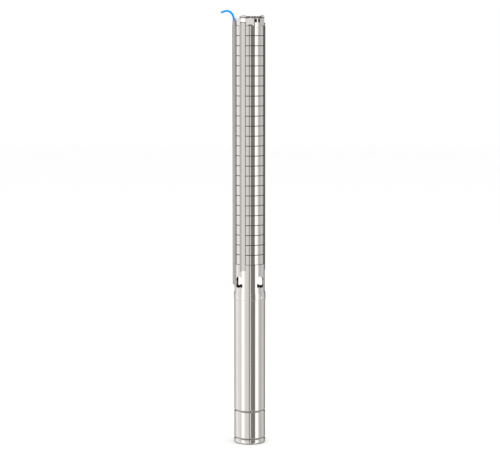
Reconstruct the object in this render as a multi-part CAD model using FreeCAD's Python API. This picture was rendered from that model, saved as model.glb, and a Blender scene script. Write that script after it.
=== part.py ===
import FreeCAD
import Part
import math
import os

# Borehole submersible pump, millimetres, standing on its motor's end with its axis on Z.
# Azimuths are degrees round the axis: 0 is the front (-Y), 90 is +X.

# Motor shell
motor_radius = 47.5
sleeve_wall = 1.5
motor_length = 466.0
cap_height = 7.2
cap_edge_radius = 6.5
cap_neck = 18.0
cap_cup_radius = 38.0
cap_floor = 5.0
groove_width = 7.0
groove_depth = 2.5
groove_land = 6.0
bearing_groove_height = 101.5
collar_overhang = 1.0
collar_height = 16.0
collar_slope_height = 7.0
flange_plug_height = 15.0
dimple_diameter = 9.5
dimple_depth = 1.4
collar_edge = 0.8

# Motor interface, four-inch standard
spigot_radius = 43.65
spigot_height = 2.0
stud_circle_radius = 38.1
stud_radius = 4.0
stud_count = 4
stud_depth = 20.0
stud_stand = 17.0
spline_radius = 7.95
spline_root_radius = 6.9
spline_teeth = 14
spline_tooth_width = 1.5
spline_length = 26.0
shaft_stand = 38.0

# Motor inside
motor_shaft_radius = 10.0
bush_wall = 4.0
bush_height = 22.0
housing_flange_height = 16.0
housing_hub_rise = 4.0
housing_hub_wall = 5.0
thrust_disc_radius = 31.0
thrust_disc_height = 8.0
thrust_pad_height = 6.0
thrust_pad_inner_radius = 14.0
thrust_pad_count = 6
thrust_pad_half_angle = 25.0
thrust_plate_height = 6.0
thrust_cup_wall = 3.0
stator_length = 200.0
stator_bore_radius = 25.3
rotor_gap = 0.6
winding_height = 30.0
winding_inner_radius = 28.0
winding_outer_radius = 42.0
winding_edge_radius = 5.0
seal_height = 10.0
seal_wall = 6.0
slinger_radius = 16.0
slinger_height = 6.0
diaphragm_wall = 2.0
diaphragm_rim_height = 4.0
diaphragm_rise = 14.0

# Suction interconnector
inlet_radius = 46.3
inlet_length = 85.0
inlet_flange_height = 8.5
inlet_flange_bore = 24.0
inlet_wall = 4.0
inlet_upper_wall = 5.8
inlet_upper_height = 31.0
window_width = 26.5
window_height = 34.5
window_sill = 6.5
nut_pocket_radius = 7.7
bell_mouth_radius = 33.0
bell_throat_radius = 24.0
bell_depth = 27.0
bell_wall = 2.0
boss_inner_radius = 34.5
boss_wall = 2.0
boss_rise = 45.5
cable_foot_height = 5.0
coupling_radius = 14.0
coupling_length = 50.0

# Stages
stage_count = 21
stage_pitch = 30.0
stack_radius = 44.1
shell_wall = 2.0
joint_chamfer = 1.1
plate_height = 2.0
eye_radius = 19.0
neck_ring_wall = 2.0
neck_ring_height = 4.0
hub_plate_height = 15.0
hub_plate_radius = 38.5
stage_hub_radius = 12.0
stage_hub_height = 11.0
bearing_radius = 9.0
guide_vane_count = 6
guide_vane_width = 2.0
guide_vane_inner_radius = 20.0
guide_vane_skew = 25.0

# Impellers
pump_shaft_radius = 6.0
impeller_radius = 36.0
impeller_floor_gap = 2.0
shroud_height = 1.5
impeller_vane_height = 6.0
impeller_vane_count = 6
impeller_vane_width = 1.6
impeller_vane_skew = 35.0
impeller_skirt_wall = 1.9
impeller_hub_radius = 11.0
cone_small_radius = 7.2
cone_large_radius = 8.4
cone_slit = 1.0
cone_nut_width = 22.0
cone_nut_height = 3.5

# Top bearing and valve
top_hub_height = 16.0
top_hub_rise = 7.5
top_arm_width = 6.0
shaft_end_height = 26.0
valve_housing_length = 60.0
valve_housing_wall = 3.0
valve_ledge_height = 3.0
valve_ledge_radius = 30.0
valve_seat_height = 5.0
valve_orifice_radius = 24.0
valve_disc_radius = 28.0
valve_disc_height = 4.0
valve_nose_radius = 18.0
valve_stem_radius = 4.0
valve_lift = 10.0
spring_closed_height = 10.95
guide_ring_wall = 5.0
guide_arm_height = 4.0
guide_arm_width = 4.0
guide_boss_radius = 8.0
guide_boss_height = 16.0
spring_radius = 11.0
spring_wire = 1.4
spring_turns = 5

# Discharge head
thread_bore_radius = 28.3
head_height = 22.0
head_collar_depth = 5.0
head_rim_height = 6.0
head_rim_wall = 2.4
rim_notch_count = 18
rim_notch_depth = 1.6
rim_notch_width = 4.0
head_flat_depth = 1.1
head_facet_depth = 1.4
head_facet_count = 6
head_slot_width = 6.5
head_slot_height = 11.0
head_slot_depth = 8.0
head_slot_spacing = 11.0
head_slot_drop = 1.6
tab_width = 23.0
tab_thickness = 0.8
tab_height = 7.0
tab_overlap = 7.0
arch_width = 24.0
arch_rise = 3.6
arch_depth = 2.5

# Straps
strap_count = 3
strap_azimuth = -27.8
strap_half_angle = 11.5
strap_thickness = 2.9
strap_overlap = 18.0
strap_foot_gap = 2.5
strap_hook_height = 4.0
strap_hook_depth = 2.2
strap_joggle_height = 5.0
strap_joggle_depth = 1.5
strap_lip_height = 3.2
strap_lip_gap = 2.0
strap_stud_circle = 37.5
strap_stud_radius = 4.0
strap_stud_stand = 9.0
strap_block_inner_radius = 33.0
strap_nut_height = 8.0
nut_washer_height = 1.4
nut_width = 13.0
nut_height = 6.5

# Cable guard and cable
guard_azimuth = -87.8
guard_wall = 0.8
guard_half_width = 14.5
guard_bend_radius = 2.2
guard_bottom_rise = 23.5
guard_top_rise = 15.0
guard_throat_half_width = 7.4
guard_ear_height = 12.0
guard_ear_thickness = 1.0
screw_radius = 2.0
screw_head_radius = 3.3
screw_head_height = 1.6
screw_length = 7.0
cable_thickness = 6.2
cable_width = 12.0
plug_half_width = 7.6
plug_depth = 14.0
plug_toe_thickness = 2.5
plug_taper_height = 16.0
plug_top_height = 11.0

# Clearances
running_gap = 0.05
fit_gap = 0.1
seat_gap = 0.2
side_gap = 0.5

# Heights worked out from the sizes above
sleeve_inner_radius = motor_radius - sleeve_wall
sleeve_bottom = cap_height
cap_groove_height = sleeve_bottom + groove_land + groove_width / 2
collar_bottom = motor_length - collar_slope_height - collar_height
plug_bottom = motor_length - plug_depth
housing_bottom = bearing_groove_height - housing_flange_height / 2
housing_top = bearing_groove_height + housing_flange_height / 2
disc_top = housing_bottom - 2 * fit_gap - 1.0
disc_bottom = disc_top - thrust_disc_height
pad_top = disc_bottom - running_gap
pad_bottom = pad_top - thrust_pad_height
bush_radius = motor_shaft_radius + bush_wall
lower_bush_top = housing_top + housing_hub_rise
stator_bottom = lower_bush_top + winding_height + housing_hub_rise
stator_top = stator_bottom + stator_length
seal_bottom = motor_length - seal_height - stud_radius
shaft_step_height = seal_bottom - stud_depth / 2
upper_bush_bottom = shaft_step_height - bush_height
inlet_floor = motor_length + inlet_flange_height
window_bottom = inlet_floor + window_sill
stack_bottom = motor_length + inlet_length
coupling_bottom = motor_length + spigot_height + slinger_height + 4 * side_gap
coupling_top = coupling_bottom + coupling_length
motor_shaft_top = motor_length + shaft_stand
shaft_socket_height = motor_shaft_top + 4 * side_gap
boss_top = motor_length + boss_rise
shell_inner_radius = stack_radius - shell_wall
impeller_plate_top = impeller_floor_gap + shroud_height
impeller_vane_top = impeller_plate_top + impeller_vane_height
impeller_top = impeller_vane_top + shroud_height
top_chamber_bottom = stack_bottom + stage_count * stage_pitch
top_hub_bottom = top_chamber_bottom + top_hub_rise
valve_bottom = top_chamber_bottom + stage_pitch
valve_seat_bottom = valve_bottom + valve_ledge_height
valve_seat_top = valve_seat_bottom + valve_seat_height
valve_inner_radius = stack_radius - valve_housing_wall
valve_disc_bottom = valve_seat_top + running_gap
valve_disc_top = valve_disc_bottom + valve_disc_height
valve_guide_bottom = valve_disc_top + spring_closed_height + valve_lift
guide_boss_bottom = valve_guide_bottom - guide_boss_height / 4
guide_boss_top = guide_boss_bottom + guide_boss_height
stack_top = valve_bottom + valve_housing_length
head_top = stack_top + head_height
strap_inner_radius = stack_radius + seat_gap
strap_outer_radius = strap_inner_radius + strap_thickness
strap_bottom = stack_bottom - strap_overlap
strap_lip_bottom = stack_top + strap_joggle_height
strap_lip_top = strap_lip_bottom + strap_lip_height
guard_bottom = motor_length + guard_bottom_rise
guard_top = stack_top + guard_top_rise
cable_inner_radius = stack_radius + seat_gap
cable_outer_radius = cable_inner_radius + cable_thickness
cable_middle_radius = cable_inner_radius + cable_thickness / 2
plug_top = guard_bottom + plug_top_height
channel_radius = stack_radius + fit_gap
guard_root_radius = stack_radius - guard_half_width
guard_inner_radius = math.hypot(cable_outer_radius, cable_width / 2) + seat_gap
guard_radius = guard_inner_radius + guard_wall
plug_outer_radius = math.sqrt((guard_inner_radius - fit_gap) ** 2 - plug_half_width ** 2)
ear_bottom = guard_top - guard_ear_height
ear_outer_radius = stack_radius + seat_gap + guard_ear_thickness
screw_height = guard_top - guard_ear_height / 2
screw_offset = (guard_throat_half_width + guard_half_width) / 2

# Free end of the cable: distance from the pump's axis and height above the stack's top.
# It leaves the guard's mouth straight up, bends away from the pump and ends cut off.
tail_points = [
    (cable_middle_radius, stack_top - 9.0),
    (cable_middle_radius, stack_top + 5.5),
    (cable_middle_radius + 0.2, stack_top + 20.5),
    (51.0, stack_top + 33.5),
    (60.0, stack_top + 42.6),
    (72.6, stack_top + 44.9),
    (86.1, stack_top + 38.6),
]


def vector(x, y, z):
    return FreeCAD.Vector(x, y, z)


def cylinder(radius, bottom, top):
    return Part.makeCylinder(radius, top - bottom, vector(0, 0, bottom))


def tube(outer, inner, bottom, top):
    return cylinder(outer, bottom, top).cut(cylinder(inner, bottom, top))


def revolved(profile):
    points = [vector(r, 0, z) for r, z in profile]
    face = Part.Face(Part.makePolygon(points + points[:1]))
    return face.revolve(vector(0, 0, 0), vector(0, 0, 1), 360)


def turned(shape, angle):
    copy = shape.copy()
    copy.rotate(vector(0, 0, 0), vector(0, 0, 1), angle)
    return copy


def at_azimuth(shape, azimuth):
    # Shapes are drawn with +X pointing outwards.
    return turned(shape, azimuth - 90)


def raised(shape, height):
    copy = shape.copy()
    copy.translate(vector(0, 0, height))
    return copy


def block(inner, outer, half_width, bottom, top):
    return Part.makeBox(outer - inner, 2 * half_width, top - bottom, vector(inner, -half_width, bottom))


def sector(outer, inner, half_angle, bottom, top):
    wedge = Part.makeCylinder(outer, top - bottom, vector(0, 0, bottom), vector(0, 0, 1), 2 * half_angle)
    return turned(wedge, -half_angle).cut(cylinder(inner, bottom - 1, top + 1))


def post(distance, radius, bottom, top):
    return Part.makeCylinder(radius, top - bottom, vector(distance, 0, bottom))


def around(shape, count, first_azimuth):
    return [at_azimuth(shape, first_azimuth + 360 * i / count) for i in range(count)]


def joined(shapes):
    return shapes[0].multiFuse(shapes[1:]).removeSplitter()


def without(shape, tools):
    return shape.cut(Part.makeCompound(tools))


def hexagon(width, bottom, top):
    corner = width / math.sqrt(3)
    angles = [math.radians(30 + 60 * i) for i in range(6)]
    points = [vector(corner * math.cos(a), corner * math.sin(a), bottom) for a in angles]
    return Part.Face(Part.makePolygon(points + points[:1])).extrude(vector(0, 0, top - bottom))


def hex_nut(width, bore, bottom, top):
    return hexagon(width, bottom, top).cut(cylinder(bore, bottom - 1, top + 1))


def rolled_groove(radius, height):
    half = groove_width / 2
    return [(radius, height - half), (radius - groove_depth, height), (radius, height + half)]


def radial_vanes(inner, outer, width, skew, bottom, top, count):
    vane = block(0, outer - inner, width / 2, bottom, top)
    vane.rotate(vector(0, 0, 0), vector(0, 0, 1), skew)
    vane.translate(vector(inner, 0, 0))
    return around(vane, count, 0)


def splined(root, tip, tooth_width, bottom, top):
    tooth = block(root / 2, tip, tooth_width / 2, bottom, top)
    return joined([cylinder(root, bottom, top)] + around(tooth, spline_teeth, 0)).common(
        cylinder(tip, bottom, top))


# Motor

def motor_sleeve():
    heights = [cap_groove_height, bearing_groove_height]
    outer = [(motor_radius, sleeve_bottom)]
    inner = [(sleeve_inner_radius, sleeve_bottom)]
    for height in heights:
        outer += rolled_groove(motor_radius, height)
        inner += rolled_groove(sleeve_inner_radius, height)
    outer += [(motor_radius, collar_bottom)]
    inner += [(sleeve_inner_radius, collar_bottom)]
    return revolved(outer + inner[::-1])


def motor_end_cap():
    neck_radius = sleeve_inner_radius - fit_gap
    neck_top = cap_height + cap_neck
    profile = [(0, 0), (motor_radius, 0), (motor_radius, cap_height), (neck_radius, cap_height)]
    profile += rolled_groove(neck_radius, cap_groove_height)
    profile += [(neck_radius, neck_top), (cap_cup_radius, neck_top)]
    profile += [(cap_cup_radius, cap_floor), (0, cap_floor)]
    cap = revolved(profile)
    rim = [e for e in cap.Edges if e.BoundBox.ZMax < 0.01 and e.BoundBox.XLength > motor_radius]
    return cap.makeFillet(min(cap_edge_radius, cap_height * 0.95), rim)


def diaphragm():
    base = cap_height + cap_neck
    rim_top = base + diaphragm_rim_height
    crown = rim_top + diaphragm_rise
    outer = sleeve_inner_radius - fit_gap
    wall = diaphragm_wall
    fold = cap_cup_radius - wall
    profile = [(outer, base), (outer, rim_top), (fold, rim_top), (fold - 4 * wall, crown)]
    profile += [(0, crown), (0, crown - wall), (fold - 5 * wall, crown - wall), (fold - wall, base)]
    return revolved(profile)


def lower_bearing_housing():
    outer = sleeve_inner_radius - fit_gap
    cup_inner = thrust_disc_radius + 3 * side_gap
    cup_outer = cup_inner + thrust_cup_wall
    plate_bottom = pad_bottom - thrust_plate_height
    hub = bush_radius + housing_hub_wall
    profile = [(bush_radius, lower_bush_top), (bush_radius, housing_bottom), (cup_inner, housing_bottom)]
    profile += [(cup_inner, pad_bottom), (thrust_pad_inner_radius, pad_bottom)]
    profile += [(thrust_pad_inner_radius, plate_bottom), (cup_outer, plate_bottom)]
    profile += [(cup_outer, housing_bottom), (outer, housing_bottom)]
    profile += rolled_groove(outer, bearing_groove_height)
    profile += [(outer, housing_top), (hub, housing_top), (hub, lower_bush_top)]
    return revolved(profile)


def thrust_pads():
    pad = sector(thrust_disc_radius - side_gap, thrust_pad_inner_radius, thrust_pad_half_angle,
                 pad_bottom, pad_top)
    return Part.makeCompound(around(pad, thrust_pad_count, 0))


def thrust_disc():
    return tube(thrust_disc_radius, motor_shaft_radius, disc_bottom, disc_top)


def motor_shaft():
    spline_bottom = motor_shaft_top - spline_length
    neck = spline_radius + running_gap
    lower = cylinder(motor_shaft_radius, pad_bottom + fit_gap, shaft_step_height)
    upper = cylinder(neck, shaft_step_height, spline_bottom)
    spline = splined(spline_root_radius, spline_radius, spline_tooth_width, spline_bottom, motor_shaft_top)
    return joined([lower, upper, spline])


def rotor_core():
    return tube(stator_bore_radius - rotor_gap, motor_shaft_radius, stator_bottom, stator_top)


def stator_core():
    return tube(sleeve_inner_radius - fit_gap, stator_bore_radius, stator_bottom, stator_top)


def winding(bottom):
    ring = tube(winding_outer_radius, winding_inner_radius, bottom, bottom + winding_height)
    rims = [e for e in ring.Edges if e.BoundBox.ZLength < 0.01]
    return ring.makeFillet(winding_edge_radius, rims)


def stator_windings():
    return Part.makeCompound([winding(stator_bottom - winding_height), winding(stator_top)])


def motor_bearings():
    inner = motor_shaft_radius + running_gap
    lower = tube(bush_radius, inner, housing_bottom + side_gap, lower_bush_top)
    upper = tube(bush_radius, inner, upper_bush_bottom, shaft_step_height - side_gap)
    return Part.makeCompound([lower, upper])


def flange_body():
    collar = motor_radius + collar_overhang
    plug = sleeve_inner_radius - fit_gap
    plug_end = collar_bottom - flange_plug_height
    slope_bottom = motor_length - collar_slope_height
    passage = spline_radius + 2 * side_gap
    seal_seat = spline_radius + seal_wall
    hub = bush_radius + 2 * housing_hub_wall
    spigot_top = motor_length + spigot_height
    profile = [(bush_radius, upper_bush_bottom), (bush_radius, shaft_step_height)]
    profile += [(passage, shaft_step_height), (passage, seal_bottom), (seal_seat, seal_bottom)]
    profile += [(seal_seat, spigot_top), (spigot_radius, spigot_top), (spigot_radius, motor_length)]
    profile += [(motor_radius, motor_length), (collar, slope_bottom), (collar, collar_bottom + collar_edge)]
    profile += [(collar - collar_edge, collar_bottom), (plug, collar_bottom), (plug, plug_end)]
    profile += [(hub, plug_end), (hub, upper_bush_bottom)]
    return revolved(profile)


def motor_top_flange():
    collar = motor_radius + collar_overhang
    ball = (dimple_diameter ** 2 / 4 + dimple_depth ** 2) / (2 * dimple_depth)
    dimple_height = collar_bottom + collar_height / 2
    dimple = Part.makeSphere(ball, vector(collar + ball - dimple_depth, 0, dimple_height))
    stud_hole = post(stud_circle_radius, stud_radius, motor_length - stud_depth,
                     motor_length + 2 * stud_radius)
    socket = block(channel_radius, channel_radius + plug_toe_thickness + 2 * fit_gap,
                   plug_half_width + fit_gap, plug_bottom, motor_length + 2 * stud_radius)
    tools = around(dimple, stud_count, 45) + around(stud_hole, stud_count, 45)
    return without(flange_body(), tools + [at_azimuth(socket, guard_azimuth)])


def shaft_seal():
    inner = spline_radius + 2 * running_gap
    lip = spline_radius + seal_wall / 2
    top = seal_bottom + seal_height
    ring = tube(spline_radius + seal_wall, inner, seal_bottom, top)
    return ring.cut(tube(lip, inner - 1, seal_bottom + seal_height / 2, top))


def sand_slinger():
    bottom = motor_length + spigot_height + side_gap
    neck = spline_radius + running_gap
    skirt = slinger_height / 3
    profile = [(neck, bottom), (slinger_radius, bottom), (slinger_radius, bottom + skirt)]
    profile += [(slinger_radius * 0.7, bottom + slinger_height), (neck, bottom + slinger_height)]
    return revolved(profile)


def motor_studs():
    stud = post(stud_circle_radius, stud_radius, motor_length - stud_depth, motor_length + stud_stand)
    return Part.makeCompound(around(stud, stud_count, 45))


def stud_nuts():
    nut = hex_nut(nut_width, stud_radius, inlet_floor, inlet_floor + nut_height)
    nut.translate(vector(stud_circle_radius, 0, 0))
    return Part.makeCompound(around(nut, stud_count, 45))


def cable_plug():
    toe = cable_inner_radius + plug_toe_thickness - fit_gap
    waist = guard_bottom - plug_taper_height
    outline = [(cable_inner_radius, plug_bottom), (toe, plug_bottom), (toe, waist)]
    outline += [(plug_outer_radius, guard_bottom), (plug_outer_radius, plug_top)]
    outline += [(cable_inner_radius, plug_top)]
    points = [vector(r, -plug_half_width, z) for r, z in outline]
    face = Part.Face(Part.makePolygon(points + points[:1]))
    plug = face.extrude(vector(0, 2 * plug_half_width, 0))
    return at_azimuth(plug, guard_azimuth)


# Suction interconnector

def inlet_body():
    wall = inlet_radius - inlet_wall
    upper = inlet_radius - inlet_upper_wall
    upper_bottom = stack_bottom - inlet_upper_height
    recess = spigot_radius + fit_gap
    recess_top = motor_length + spigot_height + fit_gap
    plate_bottom = stack_bottom - neck_ring_height
    mouth_bottom = plate_bottom - bell_depth
    profile = [(inlet_flange_bore, inlet_floor), (inlet_flange_bore, recess_top), (recess, recess_top)]
    profile += [(recess, motor_length), (inlet_radius, motor_length), (inlet_radius, stack_bottom)]
    profile += [(eye_radius, stack_bottom), (eye_radius, plate_bottom)]
    profile += [(bell_throat_radius - bell_wall, plate_bottom), (bell_mouth_radius - bell_wall, mouth_bottom)]
    profile += [(bell_mouth_radius, mouth_bottom), (bell_throat_radius, plate_bottom), (upper, plate_bottom)]
    profile += [(upper, upper_bottom), (wall, upper_bottom), (wall, inlet_floor)]
    return revolved(profile)


def inlet_window():
    half = window_width / 2
    reach = inlet_radius + 5
    arch_centre = window_bottom + window_height - half
    inner = stud_circle_radius
    slot = block(inner, reach, half, window_bottom, arch_centre)
    arch = Part.makeCylinder(half, reach - inner, vector(inner, 0, arch_centre), vector(1, 0, 0))
    pocket = post(stud_circle_radius, nut_pocket_radius, inlet_floor, window_bottom + 1)
    lower = [e for e in slot.Edges if e.BoundBox.ZMax < window_bottom + 0.01 and e.BoundBox.YLength < 0.01]
    slot = slot.makeFillet(half / 3, lower)
    return joined([slot, arch, pocket])


def cable_boss():
    wall = inlet_radius - inlet_wall / 2
    half = plug_half_width + side_gap + boss_wall
    boss = block(boss_inner_radius, wall, half, inlet_floor - 1, boss_top)
    corners = [e for e in boss.Edges if e.BoundBox.ZLength > 1 and e.BoundBox.XMax < wall - 1]
    return boss.makeFillet(boss_wall, corners)


def suction_interconnector():
    hole = post(stud_circle_radius, stud_radius + side_gap, motor_length - 1, inlet_floor + 1)
    foot_way = block(boss_inner_radius, inlet_radius, cable_width / 2 + seat_gap,
                     boss_top, boss_top + cable_foot_height + 2 * seat_gap)
    channel = block(channel_radius, inlet_radius + 5, plug_half_width + side_gap,
                    motor_length - 1, stack_bottom + 1)
    recess = sector(inlet_radius + 5, channel_radius, strap_half_angle + side_gap,
                    strap_bottom - strap_foot_gap, stack_bottom + 1)
    hook_floor = strap_inner_radius - strap_hook_depth - fit_gap
    hook = sector(inlet_radius + 5, hook_floor, strap_half_angle + side_gap,
                  strap_bottom - fit_gap, strap_bottom + strap_hook_height + fit_gap)
    tools = around(inlet_window(), stud_count, 45) + around(hole, stud_count, 45)
    tools += around(recess, strap_count, strap_azimuth) + around(hook, strap_count, strap_azimuth)
    body = joined([inlet_body(), at_azimuth(cable_boss(), guard_azimuth)])
    return without(body, tools + [at_azimuth(s, guard_azimuth) for s in (channel, foot_way)])


# Stages

def shell_profile(bottom, top, wall):
    inner = stack_radius - wall
    c = joint_chamfer
    return [(inner, bottom), (stack_radius - c, bottom), (stack_radius, bottom + c),
            (stack_radius, top - c), (stack_radius - c, top), (inner, top)]


def chamber_shape():
    plate_bottom = stage_pitch - plate_height
    plate_top = hub_plate_height + plate_height
    shell = revolved(shell_profile(0, stage_pitch, shell_wall))
    top_plate = tube(shell_inner_radius, eye_radius, plate_bottom, stage_pitch)
    hub_plate = tube(hub_plate_radius, bearing_radius, hub_plate_height, plate_top)
    hub = tube(stage_hub_radius, bearing_radius, hub_plate_height, hub_plate_height + stage_hub_height)
    vanes = radial_vanes(guide_vane_inner_radius, shell_inner_radius, guide_vane_width, guide_vane_skew,
                         hub_plate_height, plate_bottom, guide_vane_count)
    reach = tube(stack_radius - shell_wall / 2, guide_vane_inner_radius, hub_plate_height, plate_bottom)
    vanes = [vane.common(reach) for vane in vanes]
    return joined([shell, top_plate, hub_plate, hub] + vanes)


def stage_copies(shape):
    return [raised(shape, stack_bottom + i * stage_pitch) for i in range(stage_count)]


def neck_rings():
    ring = tube(eye_radius, eye_radius - neck_ring_wall, -neck_ring_height, 0)
    return Part.makeCompound(stage_copies(ring))


def chamber_bearings():
    inner = pump_shaft_radius + running_gap
    ring = tube(bearing_radius, inner, hub_plate_height, hub_plate_height + stage_hub_height)
    top = tube(bearing_radius, inner, top_hub_bottom, top_hub_bottom + top_hub_height)
    return Part.makeCompound(stage_copies(ring) + [top])


def cone_shape():
    height = impeller_top - impeller_plate_top
    return Part.makeCone(cone_small_radius, cone_large_radius, height, vector(0, 0, impeller_plate_top))


def impeller_shape():
    skirt = eye_radius - neck_ring_wall - running_gap
    mouth = skirt - impeller_skirt_wall
    lower = tube(skirt, mouth, -neck_ring_height + side_gap, impeller_plate_top)
    front = tube(impeller_radius, mouth, impeller_floor_gap, impeller_plate_top)
    back = cylinder(impeller_radius, impeller_vane_top, impeller_top)
    hub = cylinder(impeller_hub_radius, impeller_plate_top, impeller_top)
    vanes = radial_vanes(mouth - impeller_skirt_wall, impeller_radius, impeller_vane_width,
                         impeller_vane_skew, impeller_plate_top, impeller_vane_top, impeller_vane_count)
    rim = cylinder(impeller_radius, impeller_floor_gap, impeller_top)
    vanes = [vane.common(rim) for vane in vanes]
    return joined([back, hub, front, lower] + vanes).cut(cone_shape())


def impellers():
    return Part.makeCompound(stage_copies(impeller_shape()))


def split_cones():
    slit = block(0, cone_large_radius + 1, cone_slit / 2, impeller_plate_top, impeller_top)
    bore = cylinder(pump_shaft_radius, impeller_plate_top, impeller_top)
    cone = without(cone_shape(), [bore, slit])
    return Part.makeCompound(stage_copies(cone))


def cone_nuts():
    nut = hex_nut(cone_nut_width, pump_shaft_radius + fit_gap, impeller_top, impeller_top + cone_nut_height)
    return Part.makeCompound(stage_copies(nut))


def pump_shaft():
    return cylinder(pump_shaft_radius, shaft_socket_height + side_gap, top_chamber_bottom + shaft_end_height)


def coupling():
    body = cylinder(coupling_radius, coupling_bottom, coupling_top)
    rims = [e for e in body.Edges if e.BoundBox.ZLength < 0.01]
    body = body.makeChamfer(side_gap * 2, rims)
    socket_top = shaft_socket_height
    spline_bottom = motor_shaft_top - spline_length
    relief = cylinder(spline_radius + 2 * running_gap, coupling_bottom - 1, spline_bottom)
    spline = splined(spline_root_radius + running_gap, spline_radius + running_gap,
                     spline_tooth_width + 2 * running_gap, spline_bottom - 1, socket_top)
    return without(body, [relief, spline, cylinder(pump_shaft_radius, socket_top - 1, coupling_top + 1)])


# Top bearing and check valve

def top_chamber():
    bottom = top_hub_bottom
    top = bottom + top_hub_height
    shell = raised(revolved(shell_profile(0, stage_pitch, shell_wall)), top_chamber_bottom)
    hub = cylinder(stage_hub_radius + shell_wall, bottom, top)
    arm = block(0, stack_radius - shell_wall / 2, top_arm_width / 2, bottom + shell_wall, top - shell_wall)
    body = joined([shell, hub] + around(arm, strap_count, strap_azimuth))
    return body.cut(cylinder(bearing_radius, bottom - 1, top + 1))


def valve_housing():
    middle = stack_top - valve_housing_length / 2
    c = joint_chamfer
    profile = [(valve_ledge_radius, valve_bottom), (stack_radius - c, valve_bottom)]
    profile += [(stack_radius, valve_bottom + c), (stack_radius, middle - c), (stack_radius - c, middle)]
    profile += [(stack_radius, middle + c), (stack_radius, stack_top - c), (stack_radius - c, stack_top)]
    profile += [(valve_inner_radius, stack_top), (valve_inner_radius, valve_seat_bottom)]
    profile += [(valve_ledge_radius, valve_seat_bottom)]
    return revolved(profile)


def valve_seat():
    throat = valve_orifice_radius + side_gap
    profile = [(throat, valve_seat_bottom), (valve_inner_radius, valve_seat_bottom)]
    profile += [(valve_inner_radius, valve_seat_top), (throat, valve_seat_top)]
    return revolved(profile)


def valve_cone():
    nose_bottom = valve_seat_bottom
    stem_top = guide_boss_top - side_gap
    profile = [(0, nose_bottom), (valve_nose_radius, nose_bottom), (valve_orifice_radius, valve_disc_bottom)]
    profile += [(valve_disc_radius, valve_disc_bottom), (valve_disc_radius, valve_disc_bottom + 1.0)]
    profile += [(spring_radius + 2 * spring_wire, valve_disc_top), (valve_stem_radius, valve_disc_top)]
    profile += [(valve_stem_radius, stem_top), (0, stem_top)]
    return revolved(profile)


def valve_guide():
    arm_top = valve_guide_bottom + guide_arm_height
    ring = tube(valve_inner_radius, valve_inner_radius - guide_ring_wall, valve_guide_bottom, arm_top)
    boss = cylinder(guide_boss_radius, guide_boss_bottom, guide_boss_top)
    arm = block(0, valve_inner_radius - guide_ring_wall / 2, guide_arm_width / 2, valve_guide_bottom, arm_top)
    body = joined([ring, boss] + around(arm, strap_count, strap_azimuth))
    return body.cut(cylinder(valve_stem_radius + running_gap, guide_boss_bottom - 1, guide_boss_top + 1))


def half_turn(side, bottom, rise):
    # A half ring, tilted so that the next one carries on smoothly from its end.
    reach = math.hypot(spring_radius, rise / 2)
    start = vector(side * spring_radius, 0, bottom)
    centre = vector(0, 0, bottom + rise / 2)
    heading = vector(0, side, 0)
    outwards = (start - centre) * (1 / reach)
    ring = Part.Face(Part.Wire(Part.makeCircle(spring_wire / 2, start, heading)))
    return ring.revolve(centre, outwards.cross(heading), 180)


def valve_spring():
    bottom = valve_disc_top + spring_wire / 2
    rise = (valve_guide_bottom - spring_wire / 2 - bottom) / (2 * spring_turns)
    halves = [half_turn((-1) ** i, bottom + i * rise, rise) for i in range(2 * spring_turns)]
    return joined(halves)


# Discharge head

def head_body():
    collar = valve_inner_radius - fit_gap
    collar_bottom_height = stack_top - head_collar_depth
    rim = thread_bore_radius + head_rim_wall
    rim_top = head_top + head_rim_height
    c = joint_chamfer
    profile = [(thread_bore_radius, collar_bottom_height), (collar, collar_bottom_height)]
    profile += [(collar, stack_top), (stack_radius, stack_top), (stack_radius, head_top - c)]
    profile += [(stack_radius - c, head_top)]
    profile += [(rim, head_top), (rim, rim_top), (thread_bore_radius, rim_top)]
    return revolved(profile)


def head_slot():
    outer = stack_radius + 1
    half = head_slot_width / 2
    top = head_top - head_slot_drop
    inner = stack_radius - head_slot_depth
    slot = block(inner, outer, half, top - head_slot_height, top)
    corners = [e for e in slot.Edges if e.BoundBox.ZLength < 0.01 and e.BoundBox.YLength < 0.01]
    return slot.makeFillet(half / 2, corners)


def head_tab():
    half = tab_width / 2
    low = stack_top - tab_overlap
    high = stack_top + tab_height
    tooth = tab_width / 6
    outline = [(-half, high), (-half, low + tooth), (-half + tooth, low), (-half + 2 * tooth, low + tooth)]
    outline += [(0, low), (tooth, low + tooth), (2 * tooth, low), (half, low + tooth), (half, high)]
    points = [vector(stack_radius * 0.8, y, z) for y, z in outline]
    prism = Part.Face(Part.makePolygon(points + points[:1])).extrude(vector(stack_radius, 0, 0))
    skin = tube(stack_radius + seat_gap + tab_thickness, stack_radius + seat_gap, low, stack_top)
    root = tube(stack_radius + seat_gap + tab_thickness, stack_radius - 1, stack_top, high)
    return prism.common(joined([skin, root]))


def head_arch():
    radius = (arch_width ** 2 / 4 + arch_rise ** 2) / (2 * arch_rise)
    inner = stack_radius - arch_depth
    centre = vector(inner, 0, stack_top + arch_rise - radius)
    return Part.makeCylinder(radius, arch_depth + 5, centre, vector(1, 0, 0))


def strap_room():
    half = strap_half_angle + 2 * side_gap
    under = sector(stack_radius + 5, strap_block_inner_radius - side_gap, half,
                   stack_top - 1, strap_lip_top + strap_lip_gap)
    flat = block(stack_radius - head_flat_depth, stack_radius + 5, nut_width * 0.6, stack_top, head_top + 1)
    hole = post(strap_stud_circle, strap_stud_radius + seat_gap, stack_top, head_top + 1)
    return [under, flat, hole]


def head_facet():
    return block(stack_radius - head_facet_depth, stack_radius + 5, stack_radius / 2, stack_top, head_top + 1)


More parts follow.
